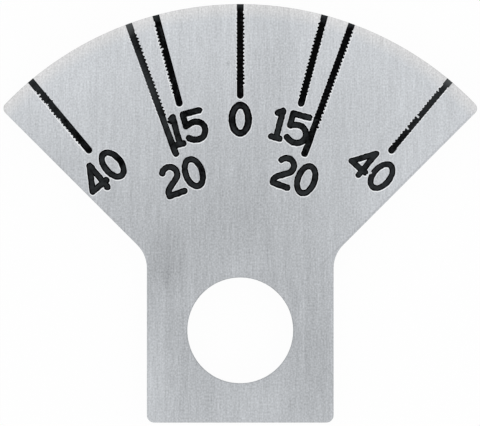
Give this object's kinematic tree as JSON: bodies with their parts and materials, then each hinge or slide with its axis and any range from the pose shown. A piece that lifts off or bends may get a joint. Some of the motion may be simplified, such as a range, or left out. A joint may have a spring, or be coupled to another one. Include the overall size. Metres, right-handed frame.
{
  "type": "camber gauge",
  "caption": "Flat fan-shaped angle gauge plate with a round bolt bore in a straight tab and black engraved angle lines and numerals along its arc.",
  "frame": {"origin": "centre of the bore on the plate's back face", "axes": "+Z along the bore, out of the marked face; +Y from the bore to the zero mark; +X across the fan, to the right when the numerals are read"},
  "size_m": [0.0576, 0.0509, 0.0032],
  "materials": {
    "plate_aluminium": "fine brushed, matt",
    "mark_black": "black paint, satin"
  },
  "bodies": {
    "root": {"gauge_plate": "plate_aluminium", "mark_paint": "mark_black"}
  },
  "joints": []
}
